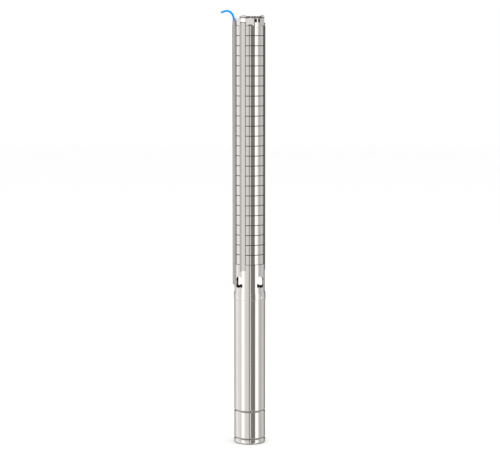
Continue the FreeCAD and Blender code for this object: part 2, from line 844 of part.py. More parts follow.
def discharge_head():
    first_window = strap_azimuth + 180 / strap_count
    first_facet = first_window - 180 / head_facet_count
    rim_radius = thread_bore_radius + head_rim_wall
    notch = block(rim_radius - rim_notch_depth, rim_radius + head_rim_wall, rim_notch_width / 2,
                  head_top + side_gap, head_top + 2 * head_rim_height)
    half_step = math.degrees(head_slot_spacing / 2 / stack_radius)
    tools = around(notch, rim_notch_count, strap_azimuth)
    for shape in strap_room():
        tools += around(shape, strap_count, strap_azimuth)
    open_windows = [first_window + i * 360 / strap_count for i in range(strap_count - 1)]
    for azimuth in open_windows:
        tools += [at_azimuth(head_slot(), azimuth + side) for side in (-half_step, half_step)]
    tools += around(head_arch(), strap_count, first_facet)
    tools += around(head_facet(), head_facet_count, first_facet)
    body = without(head_body(), tools + guard_screw_shanks())
    return joined([body] + [at_azimuth(head_tab(), azimuth) for azimuth in open_windows])


# Straps

def strap_shape():
    plate = sector(strap_outer_radius, strap_inner_radius, strap_half_angle, strap_bottom, stack_top)
    hook = sector(strap_inner_radius + 1, strap_inner_radius - strap_hook_depth, strap_half_angle,
                  strap_bottom, strap_bottom + strap_hook_height)
    neck = sector(strap_outer_radius - strap_joggle_depth, strap_block_inner_radius, strap_half_angle,
                  stack_top + fit_gap, strap_lip_bottom)
    web = sector(strap_outer_radius - strap_joggle_depth, strap_inner_radius, strap_half_angle,
                 stack_top - 1, stack_top + 1)
    lip = sector(strap_outer_radius, strap_block_inner_radius, strap_half_angle,
                 strap_lip_bottom, strap_lip_top)
    stud = post(strap_stud_circle, strap_stud_radius, strap_lip_bottom, head_top + strap_stud_stand)
    return joined([plate, hook, web, neck, lip, stud])


def straps():
    return Part.makeCompound(around(strap_shape(), strap_count, strap_azimuth))


def strap_nuts():
    washer_radius = strap_stud_circle - thread_bore_radius - head_rim_wall - fit_gap
    washer_top = head_top + nut_washer_height
    nut = joined([hexagon(nut_width, washer_top, head_top + strap_nut_height),
                  cylinder(washer_radius, head_top, washer_top)])
    nut = nut.common(Part.makeCone(nut_width, nut_width / 2, strap_nut_height * 1.3, vector(0, 0, head_top)))
    nut = nut.cut(cylinder(strap_stud_radius, head_top - 1, head_top + strap_nut_height + 1))
    nut.translate(vector(strap_stud_circle, 0, 0))
    return Part.makeCompound(around(nut, strap_count, strap_azimuth))


# Cable guard

def channel_section(radius, half_width, bottom, top):
    slab = block(guard_root_radius, radius + 1, half_width, bottom, top)
    return slab.common(cylinder(radius, bottom, top))


def channel(half_width, bottom, top):
    outer = channel_section(guard_radius, half_width, bottom, top)
    bends = [e for e in outer.Edges if e.BoundBox.XMin > stack_radius and e.BoundBox.YLength < 0.01]
    outer = outer.makeFillet(min(guard_bend_radius, half_width / 4), bends)
    return outer.cut(channel_section(guard_inner_radius, half_width - guard_wall, bottom - 1, top + 1))


def cable_guard():
    throat_half = guard_throat_half_width - guard_wall
    throat = channel_section(guard_radius, throat_half, ear_bottom - 1, guard_top + 1)
    ears = channel_section(ear_outer_radius, guard_half_width, ear_bottom, guard_top).cut(throat)
    shoulder = channel_section(guard_radius - guard_bend_radius / 2, guard_half_width - guard_wall / 2,
                               ear_bottom - guard_wall, ear_bottom)
    body = joined([channel(guard_half_width, guard_bottom, ear_bottom), shoulder.cut(throat),
                   channel(guard_throat_half_width, ear_bottom - guard_wall, guard_top), ears])
    body = body.cut(cylinder(stack_radius + seat_gap, stack_bottom, guard_top + 1))
    body = body.cut(cylinder(inlet_radius + seat_gap, guard_bottom - 1, stack_bottom))
    return without(at_azimuth(body, guard_azimuth), guard_screw_shanks())


def guard_pair(shape):
    spread = math.degrees(math.asin(screw_offset / stack_radius))
    return [at_azimuth(shape, guard_azimuth + side * spread) for side in (-1, 1)]


def screw_shank():
    inner = stack_radius - screw_length
    start = vector(inner, 0, screw_height)
    return Part.makeCylinder(screw_radius, ear_outer_radius - inner, start, vector(1, 0, 0))


def guard_screw_shanks():
    return guard_pair(screw_shank())


def guard_screws():
    head = Part.makeCone(screw_head_radius, screw_head_radius * 0.7, screw_head_height,
                         vector(ear_outer_radius, 0, screw_height), vector(1, 0, 0))
    return Part.makeCompound(guard_pair(joined([screw_shank(), head])))


# Cable

def motor_cable():
    bottom = plug_top
    top = tail_points[0][1]
    cable = block(cable_inner_radius, cable_outer_radius, cable_width / 2, bottom, top)
    corners = [e for e in cable.Edges if e.BoundBox.ZLength > 1]
    cable = cable.makeFillet(cable_thickness * 0.45, corners)
    foot = block(boss_inner_radius + boss_wall, cable_middle_radius, cable_width / 2,
                 boss_top + seat_gap, boss_top + seat_gap + cable_foot_height)
    return at_azimuth(joined([cable, foot]), guard_azimuth)


def corner_data(before, corner, after):
    run_in = math.dist(before, corner)
    run_out = math.dist(corner, after)
    d_in = [(corner[i] - before[i]) / run_in for i in range(2)]
    d_out = [(after[i] - corner[i]) / run_out for i in range(2)]
    cross = d_in[0] * d_out[1] - d_in[1] * d_out[0]
    turn = math.atan2(cross, d_in[0] * d_out[0] + d_in[1] * d_out[1])
    tangent = 0.45 * min(run_in, run_out)
    return d_in, d_out, turn, tangent, tangent / math.tan(abs(turn) / 2)


def shifted(point, direction, offset):
    return vector(point[0] - direction[1] * offset, 0, point[1] + direction[0] * offset)


def side_edges(points, offset):
    first = [points[1][i] - points[0][i] for i in range(2)]
    length = math.hypot(*first)
    cursor = shifted(points[0], [v / length for v in first], offset)
    edges = []
    for before, corner, after in zip(points, points[1:], points[2:]):
        d_in, d_out, turn, tangent, radius = corner_data(before, corner, after)
        start = shifted([corner[i] - d_in[i] * tangent for i in range(2)], d_in, offset)
        end = shifted([corner[i] + d_out[i] * tangent for i in range(2)], d_out, offset)
        side = math.copysign(1, turn)
        centre = shifted([corner[i] - d_in[i] * tangent for i in range(2)], d_in, side * radius)
        middle = (start + end) * 0.5 - centre
        middle = centre + middle * ((start - centre).Length / middle.Length)
        edges.append(Part.LineSegment(cursor, start).toShape())
        edges.append(Part.Arc(start, middle, end).toShape())
        cursor = end
    last = [points[-1][i] - points[-2][i] for i in range(2)]
    length = math.hypot(*last)
    end = shifted(points[-1], [v / length for v in last], offset)
    edges.append(Part.LineSegment(cursor, end).toShape())
    return edges


def cable_tail():
    half = cable_thickness / 2
    left = side_edges(tail_points, half)
    right = side_edges(tail_points, -half)
    start = Part.LineSegment(left[0].Vertexes[0].Point, right[0].Vertexes[0].Point).toShape()
    end = Part.LineSegment(left[-1].Vertexes[-1].Point, right[-1].Vertexes[-1].Point).toShape()
    outline = Part.Wire(Part.__sortEdges__(left + right + [start, end]))
    strip = Part.Face(outline).extrude(vector(0, cable_width, 0))
    strip.translate(vector(0, -cable_width / 2, 0))
    return at_azimuth(strip, guard_azimuth)


def report_tail():
    length = sum(math.dist(a, b) for a, b in zip(tail_points, tail_points[1:]))
    for before, corner, after in zip(tail_points, tail_points[1:], tail_points[2:]):
        d_in, d_out, turn, tangent, radius = corner_data(before, corner, after)
        length += abs(turn) * radius - 2 * tangent
        print("tail bend radius", round(radius, 1), "turn", round(math.degrees(turn), 1))
    print("tail length", round(length, 1))


def build_all():
    chamber = chamber_shape()
    shapes = {"chamber_%02d" % (i + 1): copy for i, copy in enumerate(stage_copies(chamber))}
    builders = [
        motor_sleeve, motor_end_cap, diaphragm, lower_bearing_housing, thrust_pads, thrust_disc,
        motor_shaft, rotor_core, stator_core, stator_windings, motor_bearings, motor_top_flange,
        shaft_seal, sand_slinger, motor_studs, stud_nuts, cable_plug, suction_interconnector,
        coupling, pump_shaft, impellers, split_cones, cone_nuts, neck_rings, chamber_bearings,
        top_chamber, valve_housing, valve_seat, valve_cone, valve_spring, valve_guide,
        discharge_head, straps, strap_nuts, cable_guard, guard_screws, motor_cable, cable_tail,
    ]
    for builder in builders:
        shapes[builder.__name__] = builder()
    return shapes


os.makedirs("parts", exist_ok=True)
report_tail()
for name, shape in build_all().items():
    if not shape.isValid():
        print("not valid:", name)
    shape.exportStep(os.path.join("parts", name + ".step"))
    print(name, "solids", len(shape.Solids), "volume", round(shape.Volume))
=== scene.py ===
import math

import bmesh
import bpy
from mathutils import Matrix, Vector


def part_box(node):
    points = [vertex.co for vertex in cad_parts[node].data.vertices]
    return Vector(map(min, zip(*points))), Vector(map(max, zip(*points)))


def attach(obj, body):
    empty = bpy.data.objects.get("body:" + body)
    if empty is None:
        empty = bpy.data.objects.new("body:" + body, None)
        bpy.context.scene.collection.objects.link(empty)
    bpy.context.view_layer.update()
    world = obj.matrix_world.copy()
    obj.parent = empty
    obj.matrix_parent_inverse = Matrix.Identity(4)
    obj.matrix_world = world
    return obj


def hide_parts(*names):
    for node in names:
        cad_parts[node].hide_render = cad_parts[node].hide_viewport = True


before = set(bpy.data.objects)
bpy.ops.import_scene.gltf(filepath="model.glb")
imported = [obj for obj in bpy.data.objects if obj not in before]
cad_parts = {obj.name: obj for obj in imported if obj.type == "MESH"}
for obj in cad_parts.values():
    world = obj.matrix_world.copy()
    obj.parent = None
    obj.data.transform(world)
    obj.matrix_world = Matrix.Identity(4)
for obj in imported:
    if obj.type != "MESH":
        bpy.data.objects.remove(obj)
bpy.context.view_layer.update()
mm = 0.001
housing = "housing"

# Azimuths are degrees round the pump: 0 faces the camera (-Y), 90 is +X.

pump = {
    "motorRadius": 47.5 * mm,
    "intakeRadius": 46.3 * mm,
    "stackRadius": 44.1 * mm,
    "guardAzimuth": -87.8,
    "stages": 21,
    "stackTop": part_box("valve_housing")[1].z,
    "headTop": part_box("strap_nuts")[0].z,
}


def direction(azimuth):
    angle = math.radians(azimuth)
    return Vector((math.sin(angle), -math.cos(angle), 0))


# Camera

camera = {
    "distance": 5.714,
    "side": 0.0009,
    "height": 1.259,
    "tilt": 5.897,       # degrees down
    "lens": 136.2,
    "sensor": 36.0,
}


def makeCamera():
    data = bpy.data.cameras.new("camera")
    data.lens = camera["lens"]
    data.sensor_width = camera["sensor"]
    data.clip_end = 60
    cam = bpy.data.objects.new("camera", data)
    cam.location = (camera["side"], -camera["distance"], camera["height"])
    cam.rotation_euler = (math.radians(90 - camera["tilt"]), 0, 0)
    bpy.context.scene.collection.objects.link(cam)
    bpy.context.scene.camera = cam


makeCamera()
print("camera placed")


# Materials: small helpers first

def toLinear(text):
    values = [int(text[i:i + 2], 16) / 255 for i in (1, 3, 5)]
    return [v / 12.92 if v <= 0.04045 else ((v + 0.055) / 1.055) ** 2.4 for v in values] + [1.0]


def greyToLinear(value):
    return value / 12.92 if value <= 0.04045 else ((value + 0.055) / 1.055) ** 2.4


def addNode(tree, kind, settings=None, inputs=None):
    node = tree.nodes.new(kind)
    for key, value in (settings or {}).items():
        setattr(node, key, value)
    for key, value in (inputs or {}).items():
        if isinstance(value, bpy.types.NodeSocket):
            tree.links.new(value, node.inputs[key])
        else:
            node.inputs[key].default_value = value
    return node


def newMaterial(name, baseInputs):
    material = bpy.data.materials.new(name)
    material.use_nodes = True
    tree = material.node_tree
    shader = tree.nodes["Principled BSDF"]
    for key, value in baseInputs.items():
        shader.inputs[key].default_value = value
    place = addNode(tree, "ShaderNodeTexCoord").outputs["Object"]
    return material, tree, shader, place


def mapped(tree, place, scale):
    return addNode(tree, "ShaderNodeMapping", None, {"Vector": place, "Scale": scale}).outputs[0]


def ramp(tree, fac, stops):
    node = addNode(tree, "ShaderNodeValToRGB", None, {"Fac": fac})
    elements = node.color_ramp.elements
    while len(elements) < len(stops):
        elements.new(0.5)
    for element, (position, color) in zip(elements, stops):
        element.position = position
        element.color = color
    return node.outputs["Color"]


def twoTones(tree, fac, dark, light, low=0.3, high=0.7):
    return ramp(tree, fac, [(low, toLinear(dark)), (high, toLinear(light))])


def noise(tree, vector, scale, detail=2.0, rough=0.5):
    node = addNode(tree, "ShaderNodeTexNoise", None,
                   {"Vector": vector, "Scale": scale, "Detail": detail, "Roughness": rough})
    return node.outputs["Fac"]


def setRange(tree, value, low, high):
    node = addNode(tree, "ShaderNodeMapRange", None, {"Value": value, "To Min": low, "To Max": high})
    return node.outputs["Result"]


def between(tree, value, low, high):
    # 0 at low and before it, 1 at high and past it
    return addNode(tree, "ShaderNodeMapRange", None,
                   {"Value": value, "From Min": low, "From Max": high}).outputs["Result"]


def mathOf(tree, kind, a, b=0.0):
    return addNode(tree, "ShaderNodeMath", {"operation": kind}, {0: a, 1: b}).outputs[0]


def vectorOf(tree, kind, a, b, output="Vector"):
    return addNode(tree, "ShaderNodeVectorMath", {"operation": kind}, {0: a, 1: b}).outputs[output]


def blended(tree, share, a, b):
    return addNode(tree, "ShaderNodeMix", {"data_type": "RGBA"}, {0: share, 6: a, 7: b}).outputs[2]


def axesOf(tree, vector):
    return addNode(tree, "ShaderNodeSeparateXYZ", None, {"Vector": vector}).outputs


def addBump(tree, shader, height, distance, strength):
    bump = addNode(tree, "ShaderNodeBump", None,
                   {"Height": height, "Strength": strength, "Distance": distance})
    tree.links.new(bump.outputs["Normal"], shader.inputs["Normal"])


def setColor(tree, shader, color):
    tree.links.new(color, shader.inputs["Base Color"])


def roundCoordinate(tree, place):
    # the distance round the pump and the height, so grain follows the round surface
    parts = axesOf(tree, place)
    angle = mathOf(tree, "ARCTAN2", parts["Y"], parts["X"])
    arc = mathOf(tree, "MULTIPLY", angle, pump["motorRadius"])
    return addNode(tree, "ShaderNodeCombineXYZ", None, {"X": arc, "Y": 0.0, "Z": parts["Z"]}).outputs[0]


def radiusOf(tree, place):
    flat = vectorOf(tree, "MULTIPLY", place, (1, 1, 0))
    return vectorOf(tree, "LENGTH", flat, (0, 0, 0), "Value")


def surfaceNormal(tree):
    return addNode(tree, "ShaderNodeNewGeometry").outputs["Normal"]


# Stainless tube and pressings, mirror polished: sharp reflections, a slightly warm grey,
# faint drawing lines along the length and a little uneven roughness. Inside a joint, a slot, a
# groove or the bore the steel is rougher, and its colour is darkened there as painted shade.
polished = {
    "light": "#DEDAD6", "dark": "#D5D1CD", "dullShaded": "#26241F",
    "rough": 0.06, "roughSpread": 0.03, "dullRough": 0.5, "clouds": 30.0,
    "lineWidth": 0.8 * mm, "lineLength": 60 * mm, "bump": 0.02 * mm, "bumpStrength": 0.15,
    "grooveDepth": 2.6 * mm, "grooveFade": 2.3 * mm, "grooveShade": "#999693",
    "jointDepth": 0.2 * mm, "jointFade": 0.15 * mm,
    "intakeDepth": 4.3 * mm, "intakeFade": 0.2 * mm,
}


def polishedMaterial(name):
    material, tree, shader, place = newMaterial(name, {"Metallic": 1.0, "Roughness": polished["rough"]})
    scale = (1 / polished["lineWidth"], 1, 1 / polished["lineLength"])
    lines = noise(tree, mapped(tree, roundCoordinate(tree, place), scale), 1.0, 3.0)
    addBump(tree, shader, lines, polished["bump"], polished["bumpStrength"])
    return material, tree, shader, place, twoTones(tree, lines, polished["dark"], polished["light"])


def polishedStainless(name, shadedRadius, fade, dullShaded=polished["dullShaded"]):
    # polished outside shadedRadius; below it rougher, with the colour darkened as painted shade
    material, tree, shader, place, tint = polishedMaterial(name)
    cloud = noise(tree, place, polished["clouds"], 3.0)
    spread = polished["roughSpread"]
    rough = setRange(tree, cloud, polished["rough"] - spread / 2, polished["rough"] + spread)
    bright = between(tree, radiusOf(tree, place), shadedRadius, shadedRadius + fade)
    rough = mathOf(tree, "MAXIMUM", rough, setRange(tree, bright, polished["dullRough"], 0.0))
    # painted shade: below the radius the colour turns to the dark recess colour
    setColor(tree, shader, blended(tree, bright, toLinear(dullShaded), tint))
    tree.links.new(rough, shader.inputs["Roughness"])
    return material


# The discharge head: polished outside, rougher in its slots with painted shade there, and painted shade
# in dark blotches on the rim's top inside the bore, for the shade of the cut thread. The rim's far left is
# left without it.
headFinish = {
    "slotDepth": (1.7 * mm, 2.9 * mm),    # the painted shade and roughness in the slots start, and are full
    "topBand": (0.4 * mm, 0.1 * mm),      # below the head's top
    "rimRadius": (32 * mm, 31 * mm),
    "rimShadeEdge": (-26 * mm, -21 * mm),
    "rimShadeDark": "#55524F", "rimShadeLight": "#C2BEBA", "rimShadeSize": 6 * mm,
}


def headSteel():
    material, tree, shader, place, tint = polishedMaterial("polishedHead")
    radius = radiusOf(tree, place)
    parts = axesOf(tree, place)
    inSlot = between(tree, radius, *[pump["stackRadius"] - depth for depth in headFinish["slotDepth"]])
    onTop = between(tree, parts["Z"], *[pump["headTop"] - drop for drop in headFinish["topBand"]])
    onRim = mathOf(tree, "MULTIPLY", onTop, between(tree, radius, *headFinish["rimRadius"]))
    onRim = mathOf(tree, "MULTIPLY", onRim, between(tree, parts["X"], *headFinish["rimShadeEdge"]))
    # painted shade: dark blotches on the rim's top
    blotches = noise(tree, place, 1 / headFinish["rimShadeSize"], 2.0)
    rimShade = twoTones(tree, blotches, headFinish["rimShadeDark"], headFinish["rimShadeLight"], 0.4, 0.6)
    color = blended(tree, inSlot, tint, toLinear(polished["dullShaded"]))
    setColor(tree, shader, blended(tree, onRim, blended(tree, onTop, color, tint), rimShade))
    dullShaded = mathOf(tree, "MAXIMUM", inSlot, onRim)
    tree.links.new(setRange(tree, dullShaded, polished["rough"], polished["dullRough"]),
                   shader.inputs["Roughness"])
    return material


# The motor's collar: polished like the shell, with the walls in the round dimples darkened as painted
# shade.
# A wall is where the surface in the dimples' band faces sideways.
collarFinish = {
    "band": (443.5 * mm, 458.5 * mm),
    "bandFade": 0.5 * mm,
    "facingOut": (0.8, 0.5),    # share of the surface's direction that points away from the axis
}


def collarSteel():
    material, tree, shader, place, tint = polishedMaterial("polishedCollar")
    facing = surfaceNormal(tree)
    height = axesOf(tree, place)["Z"]
    tilt = axesOf(tree, facing)["Z"]
    outward = vectorOf(tree, "DOT_PRODUCT", place, facing, "Value")
    level = mathOf(tree, "SUBTRACT", outward, mathOf(tree, "MULTIPLY", height, tilt))
    share = mathOf(tree, "DIVIDE", level, radiusOf(tree, place))
    low, high = collarFinish["band"]
    above = between(tree, height, low, low + collarFinish["bandFade"])
    below = between(tree, height, high, high - collarFinish["bandFade"])
    sides = between(tree, share, *collarFinish["facingOut"])
    dimpleShade = mathOf(tree, "MULTIPLY", sides, mathOf(tree, "MULTIPLY", above, below))
    # painted shade on the dimple walls
    setColor(tree, shader, blended(tree, dimpleShade, tint, toLinear(polished["dullShaded"])))
    return material


# Stainless strip, brushed along its length: softer reflections across the grain.
brushed = {
    "rough": 0.17, "roughBelow": 0.04, "roughAbove": 0.06,
    "grainWidth": 0.35 * mm, "grainLength": 25 * mm, "bump": 0.03 * mm, "bumpStrength": 0.3,
}


def brushedStainless(name, light, dark):
    material, tree, shader, place = newMaterial(name, {"Metallic": 1.0, "Roughness": brushed["rough"]})
    scale = (1 / brushed["grainWidth"], 1, 1 / brushed["grainLength"])
    grain = noise(tree, mapped(tree, roundCoordinate(tree, place), scale), 1.0, 4.0)
    rough = setRange(tree, grain, brushed["rough"] - brushed["roughBelow"],
                     brushed["rough"] + brushed["roughAbove"])
    tree.links.new(rough, shader.inputs["Roughness"])
    addBump(tree, shader, grain, brushed["bump"], brushed["bumpStrength"])
    return material, tree, shader, place, twoTones(tree, grain, dark, light, 0.25, 0.75)


# The straps: brushed strip whose sheared side faces are darkened as painted shade.
strapFinish = {"light": "#BDBAB7", "dark": "#ABA8A5", "edge": "#6E6B68", "edgeFacing": (0.6, 0.9)}


def strapSteel():
    material, tree, shader, place, tint = brushedStainless(
        "strapSteel", strapFinish["light"], strapFinish["dark"])
    turned = vectorOf(tree, "CROSS_PRODUCT", place, surfaceNormal(tree))
    sideways = mathOf(tree, "ABSOLUTE", axesOf(tree, turned)["Z"])
    share = mathOf(tree, "DIVIDE", sideways, radiusOf(tree, place))
    # painted shade on the faces that turn sideways round the pump
    edge = between(tree, share, *strapFinish["edgeFacing"])
    setColor(tree, shader, blended(tree, edge, tint, toLinear(strapFinish["edge"])))
    return material


# The cable guard: brushed strip, whose root next to the chambers is darkened as painted contact shade.
guardFinish = {"light": "#C6C3C0", "dark": "#B6B3B0", "rootShade": "#7C7977", "root": (0.4 * mm, 2.2 * mm)}


def guardSteel():
    material, tree, shader, place, tint = brushedStainless(
        "guardSteel", guardFinish["light"], guardFinish["dark"])
    root = [pump["stackRadius"] + step for step in guardFinish["root"]]
    # painted contact shade at the guard's root, fading out by these radii
    out = between(tree, radiusOf(tree, place), *root)
    setColor(tree, shader, blended(tree, out, toLinear(guardFinish["rootShade"]), tint))
    return material


# Stainless bar, turned on a lathe: fine rings round the axis that show as soft bands.
turnedFinish = {
    "color": "#C9C6C3", "dark": "#BEBBB8", "light": "#D2CFCC",
    "rough": 0.2, "roughBelow": 0.06, "roughAbove": 0.1, "clouds": 90.0,
    "ringPitch": 0.5 * mm, "bump": 0.04 * mm, "bumpStrength": 0.2,
}


def waveAlong(tree, place, pitch):
    turns = mathOf(tree, "MULTIPLY", axesOf(tree, place)["Z"], 2 * math.pi / pitch)
    return mathOf(tree, "SINE", turns)


def turnedStainless():
    material, tree, shader, place = newMaterial("turnedStainless", {
        "Base Color": toLinear(turnedFinish["color"]), "Metallic": 1.0,
        "Roughness": turnedFinish["rough"]})
    cloud = noise(tree, place, turnedFinish["clouds"], 4.0)
    rough = setRange(tree, cloud, turnedFinish["rough"] - turnedFinish["roughBelow"],
                     turnedFinish["rough"] + turnedFinish["roughAbove"])
    tree.links.new(rough, shader.inputs["Roughness"])
    setColor(tree, shader, twoTones(tree, cloud, turnedFinish["dark"], turnedFinish["light"]))
    rings = waveAlong(tree, place, turnedFinish["ringPitch"])
    addBump(tree, shader, rings, turnedFinish["bump"], turnedFinish["bumpStrength"])
    return material


# Stainless nuts and screws, cold formed and tumbled: a soft grey with small dents. The foot of
# the nut and its washer are darkened as painted shade, up from the floor that they sit on.
nutFinish = {
    "dark": "#B2AFAC", "light": "#CFCCC9", "footShade": "#86837F", "rough": 0.3,
    "foot": (2.0 * mm, 5.0 * mm), "dentSize": 1.5 * mm, "bump": 0.06 * mm, "bumpStrength": 0.3,
}


def nutSteel(name, floor):
    material, tree, shader, place = newMaterial(name, {"Metallic": 1.0, "Roughness": nutFinish["rough"]})
    dents = noise(tree, place, 1 / nutFinish["dentSize"], 3.0)
    tint = twoTones(tree, dents, nutFinish["dark"], nutFinish["light"])
    # painted shade at the foot, fading out upwards
    aboveFoot = between(tree, axesOf(tree, place)["Z"], *[floor + rise for rise in nutFinish["foot"]])
    setColor(tree, shader, blended(tree, aboveFoot, toLinear(nutFinish["footShade"]), tint))
    addBump(tree, shader, dents, nutFinish["bump"], nutFinish["bumpStrength"])
    return material


def grainyMaterial(name, look):
    # the finishes below share this build: one noise gives the two tones and the bump
    material, tree, shader, place = newMaterial(name, {
        "Base Color": toLinear(look["color"]), **look["shader"]})
    grain = noise(tree, place, 1 / look["grain"], *look["noise"])
    setColor(tree, shader, twoTones(tree, grain, look["dark"], look["light"], *look["tones"]))
    addBump(tree, shader, grain, look["bump"], look["bumpStrength"])
    return material, tree, shader, grain


# Nitrile rubber, moulded: near black, soft sheen, fine pores.
rubberLook = {
    "color": "#232325", "dark": "#1B1B1D", "light": "#2B2B2D", "tones": (0.3, 0.7),
    "shader": {"Roughness": 0.55, "IOR": 1.52},
    "grain": 0.6 * mm, "noise": (3.0,), "bump": 0.1 * mm, "bumpStrength": 0.4,
}


def blackRubber():
    return grainyMaterial("blackRubber", rubberLook)[0]


# Grey iron casting, dipped in varnish: rough sand texture under a dull gloss.
ironLook = {
    "color": "#5A5B5D", "dark": "#4A4B4D", "light": "#6C6D70", "tones": (0.3, 0.7),
    "shader": {"Metallic": 0.7, "Roughness": 0.5},
    "grain": 0.9 * mm, "noise": (5.0, 0.65), "bump": 0.3 * mm, "bumpStrength": 0.6,
}


def castIron():
    return grainyMaterial("castIron", ironLook)[0]


# Carbon graphite, lapped: dark grey with a faint metallic gleam.
carbonLook = {
    "color": "#3A3B3E", "dark": "#303134", "light": "#55565A", "tones": (0.4, 0.75),
    "shader": {"Metallic": 0.2, "Roughness": 0.35},
    "grain": 0.5 * mm, "noise": (4.0, 0.7), "bump": 0.05 * mm, "bumpStrength": 0.3,
}


def carbonGraphite():
    return grainyMaterial("carbonGraphite", carbonLook)[0]


# Moulded plug, pale grey rubber with a matt skin.
plugLook = {
    "color": "#EFEFEE", "dark": "#E8E8E7", "light": "#F5F5F4", "tones": (0.3, 0.7),
    "shader": {"Roughness": 0.45, "IOR": 1.5},
    "grain": 1.2 * mm, "noise": (3.0,), "bump": 0.08 * mm, "bumpStrength": 0.3,
}


def mouldedPlug():
    return grainyMaterial("mouldedPlug", plugLook)[0]


# Drinking-water cable sheath, extruded: bright blue with a satin skin and small dimples.
sheathLook = {
    "color": "#049DF4", "dark": "#0294EA", "light": "#08A4FA", "tones": (0.3, 0.7),
    "shader": {"Roughness": 0.42, "IOR": 1.49, "Specular IOR Level": 0.12},
    "grain": 1.5 * mm, "noise": (4.0,), "bump": 0.05 * mm, "bumpStrength": 0.25,
    "roughRange": (0.37, 0.52),
}


def blueSheath():
    material, tree, shader, grain = grainyMaterial("blueSheath", sheathLook)
    tree.links.new(setRange(tree, grain, *sheathLook["roughRange"]), shader.inputs["Roughness"])
    return material


# Electrical sheet, stacked: half-millimetre laminations, drawn 1 mm apart so that they show.
sheetLook = {"color": "#7E8084", "dark": "#4E5054", "light": "#8C8E92", "pitch": 1.0 * mm,
             "metallic": 0.85, "rough": 0.45, "bump": 0.1 * mm, "bumpStrength": 0.5}


def laminatedSteel():
    material, tree, shader, place = newMaterial("laminatedSteel", {
        "Base Color": toLinear(sheetLook["color"]), "Metallic": sheetLook["metallic"],
        "Roughness": sheetLook["rough"]})
    sheets = waveAlong(tree, place, sheetLook["pitch"])
    setColor(tree, shader, twoTones(tree, sheets, sheetLook["dark"], sheetLook["light"], 0.1, 0.6))
    addBump(tree, shader, sheets, sheetLook["bump"], sheetLook["bumpStrength"])
    return material


# Enamelled copper wire, wound and varnished: orange-brown strands 1 mm apart.
copperLook = {"color": "#B5652F", "dark": "#7A3D18", "light": "#C9783B", "scale": 50.0,
              "metallic": 0.9, "rough": 0.3, "bump": 0.4 * mm, "bumpStrength": 0.6}


def enamelledCopper():
    material, tree, shader, place = newMaterial("enamelledCopper", {
        "Base Color": toLinear(copperLook["color"]), "Metallic": copperLook["metallic"],
        "Roughness": copperLook["rough"]})
    wave = addNode(tree, "ShaderNodeTexWave", {"wave_type": "RINGS", "rings_direction": "Z"}, {
        "Vector": place, "Scale": copperLook["scale"], "Distortion": 2.0, "Detail": 2.0}).outputs["Fac"]
    setColor(tree, shader, twoTones(tree, wave, copperLook["dark"], copperLook["light"], 0.2, 0.7))
    addBump(tree, shader, wave, copperLook["bump"], copperLook["bumpStrength"])
    return material


finish = {
    # painted shade below these radii: the motor's rolled grooves, the stage joints and the intake's inside
    "polished": polishedStainless("polishedMotor", pump["motorRadius"] - polished["grooveDepth"],
                                  polished["grooveFade"], polished["grooveShade"]),
    "collar": collarSteel(),
    "stage": polishedStainless("polishedStage", pump["stackRadius"] - polished["jointDepth"],
                               polished["jointFade"]),
    "intake": polishedStainless("polishedIntake", pump["intakeRadius"] - polished["intakeDepth"],
                                polished["intakeFade"]),
    "head": headSteel(),
    "strap": strapSteel(), "guard": guardSteel(), "turned": turnedStainless(),
    "nut": nutSteel("nutSteel", pump["headTop"]),
    "studNut": nutSteel("studNutSteel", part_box("stud_nuts")[0].z),
    "rubber": blackRubber(), "iron": castIron(), "carbon": carbonGraphite(), "sheets": laminatedSteel(),
    "copper": enamelledCopper(), "plug": mouldedPlug(), "blue": blueSheath(),
}

nodeFinish = {
    "stage": ["chamber_%02d" % (i + 1) for i in range(pump["stages"])] + [
        "top_chamber", "valve_housing"],
    "collar": ["motor_top_flange"],
    "intake": ["suction_interconnector"],
    "head": ["discharge_head"],
    "strap": ["straps"],
    "guard": ["cable_guard"],
    "nut": ["strap_nuts"],
    "studNut": ["stud_nuts", "guard_screws"],
    "turned": ["motor_studs", "cone_nuts", "split_cones", "valve_spring", "motor_shaft", "pump_shaft",
               "coupling", "impellers", "valve_cone", "valve_guide"],
    "rubber": ["diaphragm", "shaft_seal", "sand_slinger", "chamber_bearings", "valve_seat", "neck_rings"],
    "iron": ["lower_bearing_housing"],
    "carbon": ["thrust_pads", "thrust_disc", "motor_bearings"],
    "sheets": ["rotor_core", "stator_core"],
    "copper": ["stator_windings"],
    "plug": ["cable_plug"],
    "blue": ["motor_cable", "cable_tail"],
}


def dress(obj, material):
    obj.data.materials.clear()
    obj.data.materials.append(material)


def dressFrame():
    chosen = {name: key for key, names in nodeFinish.items() for name in names}
    for name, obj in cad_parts.items():
        dress(obj, finish[chosen.get(name, "polished")])


dressFrame()
print("frame dressed")


# Cable tail: the flat cable's free end. Its points are distances from the axis and heights
# above the stack's top, in millimetres, along the guard's azimuth.

tail = {
    "width": 12.0 * mm,
    "thickness": 6.2 * mm,
    "middle": 47.4,
    "edge": 0.46,        # corner radius as a share of the thickness
    "steps": 16,         # curve points between two route points
    "sides": 40,
}
tail["points"] = [
    (tail["middle"], -9.0), (tail["middle"], 5.5), (tail["middle"] + 0.2, 20.5),
    (51.0, 33.5), (60.0, 42.6), (72.6, 44.9), (86.1, 38.6),
]


def tailPoint(distance, rise):
    return direction(pump["guardAzimuth"]) * distance * mm + Vector((0, 0, pump["stackTop"] + rise * mm))


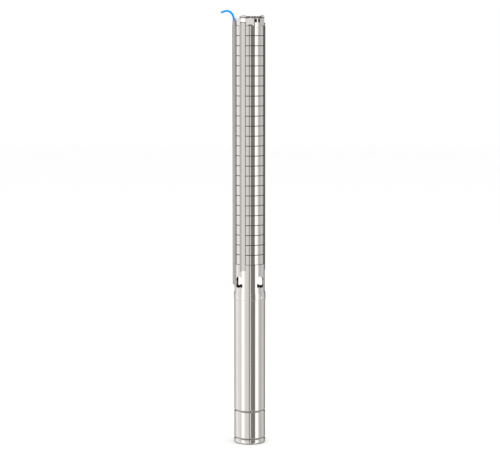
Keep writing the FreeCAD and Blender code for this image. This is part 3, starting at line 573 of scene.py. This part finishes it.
def splinePath(points, resolution):
    curve = bpy.data.curves.new("routeCurve", "CURVE")
    curve.dimensions = "3D"
    spline = curve.splines.new("NURBS")
    spline.points.add(len(points) - 1)
    for point, place in zip(spline.points, points):
        point.co = (*place, 1.0)
    spline.order_u = 3
    spline.use_endpoint_u = True
    spline.resolution_u = resolution
    carrier = bpy.data.objects.new("routeCarrier", curve)
    bpy.context.scene.collection.objects.link(carrier)
    bpy.context.view_layer.update()
    mesh = bpy.data.meshes.new_from_object(carrier.evaluated_get(bpy.context.evaluated_depsgraph_get()))
    path = [v.co.copy() for v in mesh.vertices]
    bpy.data.objects.remove(carrier)
    bpy.data.meshes.remove(mesh)
    return path


def roundedOutline(width, height, radius, sides):
    # a rounded rectangle, anticlockwise
    outline = []
    steps = sides // 4
    for corner, (sx, sy) in enumerate(((1, 1), (-1, 1), (-1, -1), (1, -1))):
        for i in range(steps):
            angle = math.radians(90 * corner + 90 * i / (steps - 1))
            outline.append((sx * (width / 2 - radius) + radius * math.cos(angle),
                            sy * (height / 2 - radius) + radius * math.sin(angle)))
    return outline


def finishMesh(name, bm, material, smooth=True):
    mesh = bpy.data.meshes.new(name)
    bmesh.ops.recalc_face_normals(bm, faces=bm.faces)
    for face in bm.faces:
        face.smooth = smooth
    bm.to_mesh(mesh)
    bm.free()
    obj = bpy.data.objects.new(name, mesh)
    bpy.context.scene.collection.objects.link(obj)
    obj.data.materials.append(material)
    return obj


def sweepOutline(bm, path, outline, sideways):
    rings = []
    for i, point in enumerate(path):
        ahead = path[min(i + 1, len(path) - 1)] - path[max(i - 1, 0)]
        across = ahead.normalized().cross(sideways).normalized()
        rings.append([bm.verts.new(point + sideways * x + across * y) for x, y in outline])
    for low, high in zip(rings, rings[1:]):
        for j in range(len(outline)):
            k = (j + 1) % len(outline)
            bm.faces.new((low[j], low[k], high[k], high[j]))
    return rings


def makeTail():
    path = splinePath([tailPoint(*p) for p in tail["points"]], tail["steps"])
    sideways = direction(pump["guardAzimuth"] + 90)
    corner = tail["edge"] * tail["thickness"]
    outline = roundedOutline(tail["width"], tail["thickness"], corner, tail["sides"])
    bm = bmesh.new()
    rings = sweepOutline(bm, path, outline, sideways)
    bm.faces.new(rings[0])
    bm.faces.new(rings[-1])
    obj = finishMesh("cable_tail_sheath", bm, finish["blue"])
    for face in obj.data.polygons:
        face.use_smooth = len(face.vertices) == 4
    length = sum((b - a).length for a, b in zip(path, path[1:]))
    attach(obj, housing)
    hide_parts("cable_tail")
    return length


print("cable tail", round(makeTail(), 4))


# Pipe thread in the discharge bore: a ridge that winds up the wall. Its start and end stop
# short of the bore's edges.

thread = {
    "Radius": 28.5 * mm,
    "Pitch": 2.309 * mm,
    "Height": 24 * mm,
    "Ridge": 0.9 * mm,
    "Start": pump["headTop"] - 22 * mm,
}
threadSteps = {"turn": 72, "ridge": 4}    # straight pieces in one turn, and sides of the ridge


def addSockets(tree, kinds):
    for name, kind in kinds:
        tree.interface.new_socket(name=name, in_out="INPUT", socket_type=kind)
    tree.interface.new_socket(name="Geometry", in_out="OUTPUT", socket_type="NodeSocketGeometry")


def threadTree():
    tree = bpy.data.node_groups.new("threadRidge", "GeometryNodeTree")
    addSockets(tree, [(name, "NodeSocketFloat") for name in thread] + [("Material", "NodeSocketMaterial")])
    given = addNode(tree, "NodeGroupInput").outputs
    turns = mathOf(tree, "DIVIDE", given["Height"], given["Pitch"])
    wind = addNode(tree, "GeometryNodeCurveSpiral", None, {
        "Resolution": threadSteps["turn"], "Rotations": turns, "Start Radius": given["Radius"],
        "End Radius": given["Radius"], "Height": given["Height"]}).outputs[0]
    profile = addNode(tree, "GeometryNodeCurvePrimitiveCircle", None,
                      {"Resolution": threadSteps["ridge"], "Radius": given["Ridge"]}).outputs["Curve"]
    ridge = addNode(tree, "GeometryNodeCurveToMesh", None,
                    {"Curve": wind, "Profile Curve": profile, "Fill Caps": True}).outputs[0]
    lift = addNode(tree, "ShaderNodeCombineXYZ", None, {"X": 0.0, "Y": 0.0, "Z": given["Start"]}).outputs[0]
    placed = addNode(tree, "GeometryNodeTransform", None,
                     {"Geometry": ridge, "Translation": lift}).outputs[0]
    real = addNode(tree, "GeometryNodeRealizeInstances", None, {"Geometry": placed}).outputs[0]
    painted = addNode(tree, "GeometryNodeSetMaterial", None,
                      {"Geometry": real, "Material": given["Material"]}).outputs[0]
    addNode(tree, "NodeGroupOutput", None, {"Geometry": painted})
    return tree


def makeThread():
    tree = threadTree()
    carrier = bpy.data.objects.new("threadCarrier", bpy.data.meshes.new("threadCarrier"))
    bpy.context.scene.collection.objects.link(carrier)
    modifier = carrier.modifiers.new("threadRidge", "NODES")
    modifier.node_group = tree
    named = {item.name: item.identifier for item in tree.interface.items_tree if item.in_out == "INPUT"}
    for name, value in thread.items():
        modifier[named[name]] = value
    modifier[named["Material"]] = finish["turned"]
    bpy.context.view_layer.update()
    mesh = bpy.data.meshes.new_from_object(carrier.evaluated_get(bpy.context.evaluated_depsgraph_get()))
    bpy.data.objects.remove(carrier)
    obj = bpy.data.objects.new("discharge_thread", mesh)
    bpy.context.scene.collection.objects.link(obj)
    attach(obj, housing)
    return len(mesh.polygons)


print("discharge thread", makeThread(), "faces")


# Floor and light

studio = {
    "floorSize": 30.0,
    "floor": "#FFFFFF",
    "metalShade": 0.69,      # what the polished steel gives back of the light that meets it
    "zenith": 0.56,          # grey of the ceiling
    "ceilingBlend": (0.62, 0.8),    # height of a direction where the cards give way to the ceiling
    # the light strip above the cards starts, is full, fades and ends
    "ringBlend": (0.14, 0.22, 0.5, 0.62),
    "ringShare": 0.3,
    "ringLevel": 1.5,
    "backAzimuth": (132, 146),     # beyond this there is only dark behind the pump
    "backBlend": (-0.08, -0.02),
    "backLevel": 0.02,
    "glare": 1.08,           # a card of grey over 1 is this much brighter than white
    "seam": -2,              # degrees, in a card, where the left half of the room meets the right
    "seamReach": 10,
}

# Cards that stand round the pump in the studio, from left to right behind the camera: the azimuth
# of each side in degrees, and the grey that each shows in the polished steel.
cards = [
    {"from": -180, "to": -148, "grey": 0.56},
    {"from": -144, "to": -124, "grey": 0.75},
    {"from": -118, "to": -99, "grey": 0.91},
    {"from": -94, "to": -76, "grey": 0.85},
    {"from": -73, "to": -67, "grey": 0.81},
    {"from": -58, "to": -46, "grey": 1.02},
    {"from": -38, "to": -37, "grey": 0.91},
    {"from": -31, "to": -8, "grey": 0.82},
    {"from": -4.3, "to": 0.5, "grey": 0.49},
    {"from": 3, "to": 7.5, "grey": 0.86},
    {"from": 10, "to": 40.5, "grey": 0.455},
    {"from": 42.6, "to": 61, "grey": 1.02},
    {"from": 69, "to": 71, "grey": 0.82},
    {"from": 80, "to": 92, "grey": 0.69},
    {"from": 98, "to": 122, "grey": 0.765},
    {"from": 138, "to": 150, "grey": 0.52},
    {"from": 160, "to": 180, "grey": 0.56},
]


def cardLevel(grey):
    return greyToLinear(min(grey, 1.0)) * (1.0 if grey <= 1 else studio["glare"]) / studio["metalShade"]


def plain(level):
    return (level, level, level, 1)


def greyRamp(tree, fac, stops):
    return ramp(tree, fac, [(position, plain(level)) for position, level in stops])


def cardStops(low, high):
    stops = []
    for card in cards:
        for azimuth in (card["from"], card["to"]):
            if low - studio["seamReach"] <= azimuth <= high + studio["seamReach"]:
                stops.append(((azimuth + 180) / 360, cardLevel(card["grey"])))
    return stops


def makeWorld():
    world = bpy.data.worlds.new("studio")
    bpy.context.scene.world = world
    world.use_nodes = True
    tree = world.node_tree
    tree.nodes.clear()
    parts = axesOf(tree, addNode(tree, "ShaderNodeTexCoord").outputs["Generated"])
    rise = parts["Z"]
    angle = mathOf(tree, "ARCTAN2", parts["X"], mathOf(tree, "MULTIPLY", parts["Y"], -1.0))
    share = between(tree, angle, -math.pi, math.pi)
    # a colour ramp holds at most 32 stops, so each half of the room has its own
    left, right = [greyRamp(tree, share, cardStops(*half)) for half in ((-180, 0), (0, 180))]
    onRight = mathOf(tree, "GREATER_THAN", share, (studio["seam"] + 180) / 360)
    bands = blended(tree, onRight, left, right)
    ringStart, ringFull, ringFade, ringEnd = studio["ringBlend"]
    ringIn = between(tree, rise, ringStart, ringFull)
    ring = mathOf(tree, "SUBTRACT", ringIn, between(tree, rise, ringFade, ringEnd))
    ringShare = mathOf(tree, "MULTIPLY", ring, studio["ringShare"])
    lifted = blended(tree, ringShare, bands, plain(studio["ringLevel"]))
    roof = between(tree, rise, *studio["ceilingBlend"])
    roofed = blended(tree, roof, lifted, plain(cardLevel(studio["zenith"])))
    turn = mathOf(tree, "ABSOLUTE", angle)
    behind = between(tree, turn, *[math.radians(v) for v in studio["backAzimuth"]])
    shade = mathOf(tree, "MULTIPLY", behind, between(tree, rise, *studio["backBlend"]))
    dim = blended(tree, shade, roofed, plain(studio["backLevel"]))
    # the camera and matt surfaces see a plain white room
    rays = addNode(tree, "ShaderNodeLightPath").outputs
    soft = mathOf(tree, "MAXIMUM", rays["Is Camera Ray"], rays["Is Diffuse Ray"])
    light = blended(tree, soft, dim, plain(1))
    lit = addNode(tree, "ShaderNodeBackground", None, {"Color": light, "Strength": 1.0}).outputs[0]
    addNode(tree, "ShaderNodeOutputWorld", None, {"Surface": lit})
    bpy.context.scene.view_settings.view_transform = "Standard"


# Matt white floor, that the polished steel doesn't mirror.
def makeFloor():
    bm = bmesh.new()
    bmesh.ops.create_grid(bm, x_segments=2, y_segments=2, size=studio["floorSize"] / 2)
    paint = newMaterial("floorPaint", {
        "Base Color": toLinear(studio["floor"]), "Roughness": 0.9, "Specular IOR Level": 0.1})[0]
    floor = finishMesh("floor", bm, paint, False)
    floor.visible_glossy = False


lamp = {"place": (0.3, -0.6, 4.0), "aim": (0, 0, 0.6), "size": 3.0, "power": 40}


def makeLamp():
    data = bpy.data.lights.new("overheadLamp", "AREA")
    data.size = lamp["size"]
    data.energy = lamp["power"]
    light = bpy.data.objects.new("overheadLamp", data)
    light.visible_glossy = False
    light.location = lamp["place"]
    light.rotation_euler = (Vector(lamp["aim"]) - Vector(lamp["place"])).to_track_quat("-Z", "Y").to_euler()
    bpy.context.scene.collection.objects.link(light)


makeWorld()
makeFloor()
makeLamp()
print("studio lit")
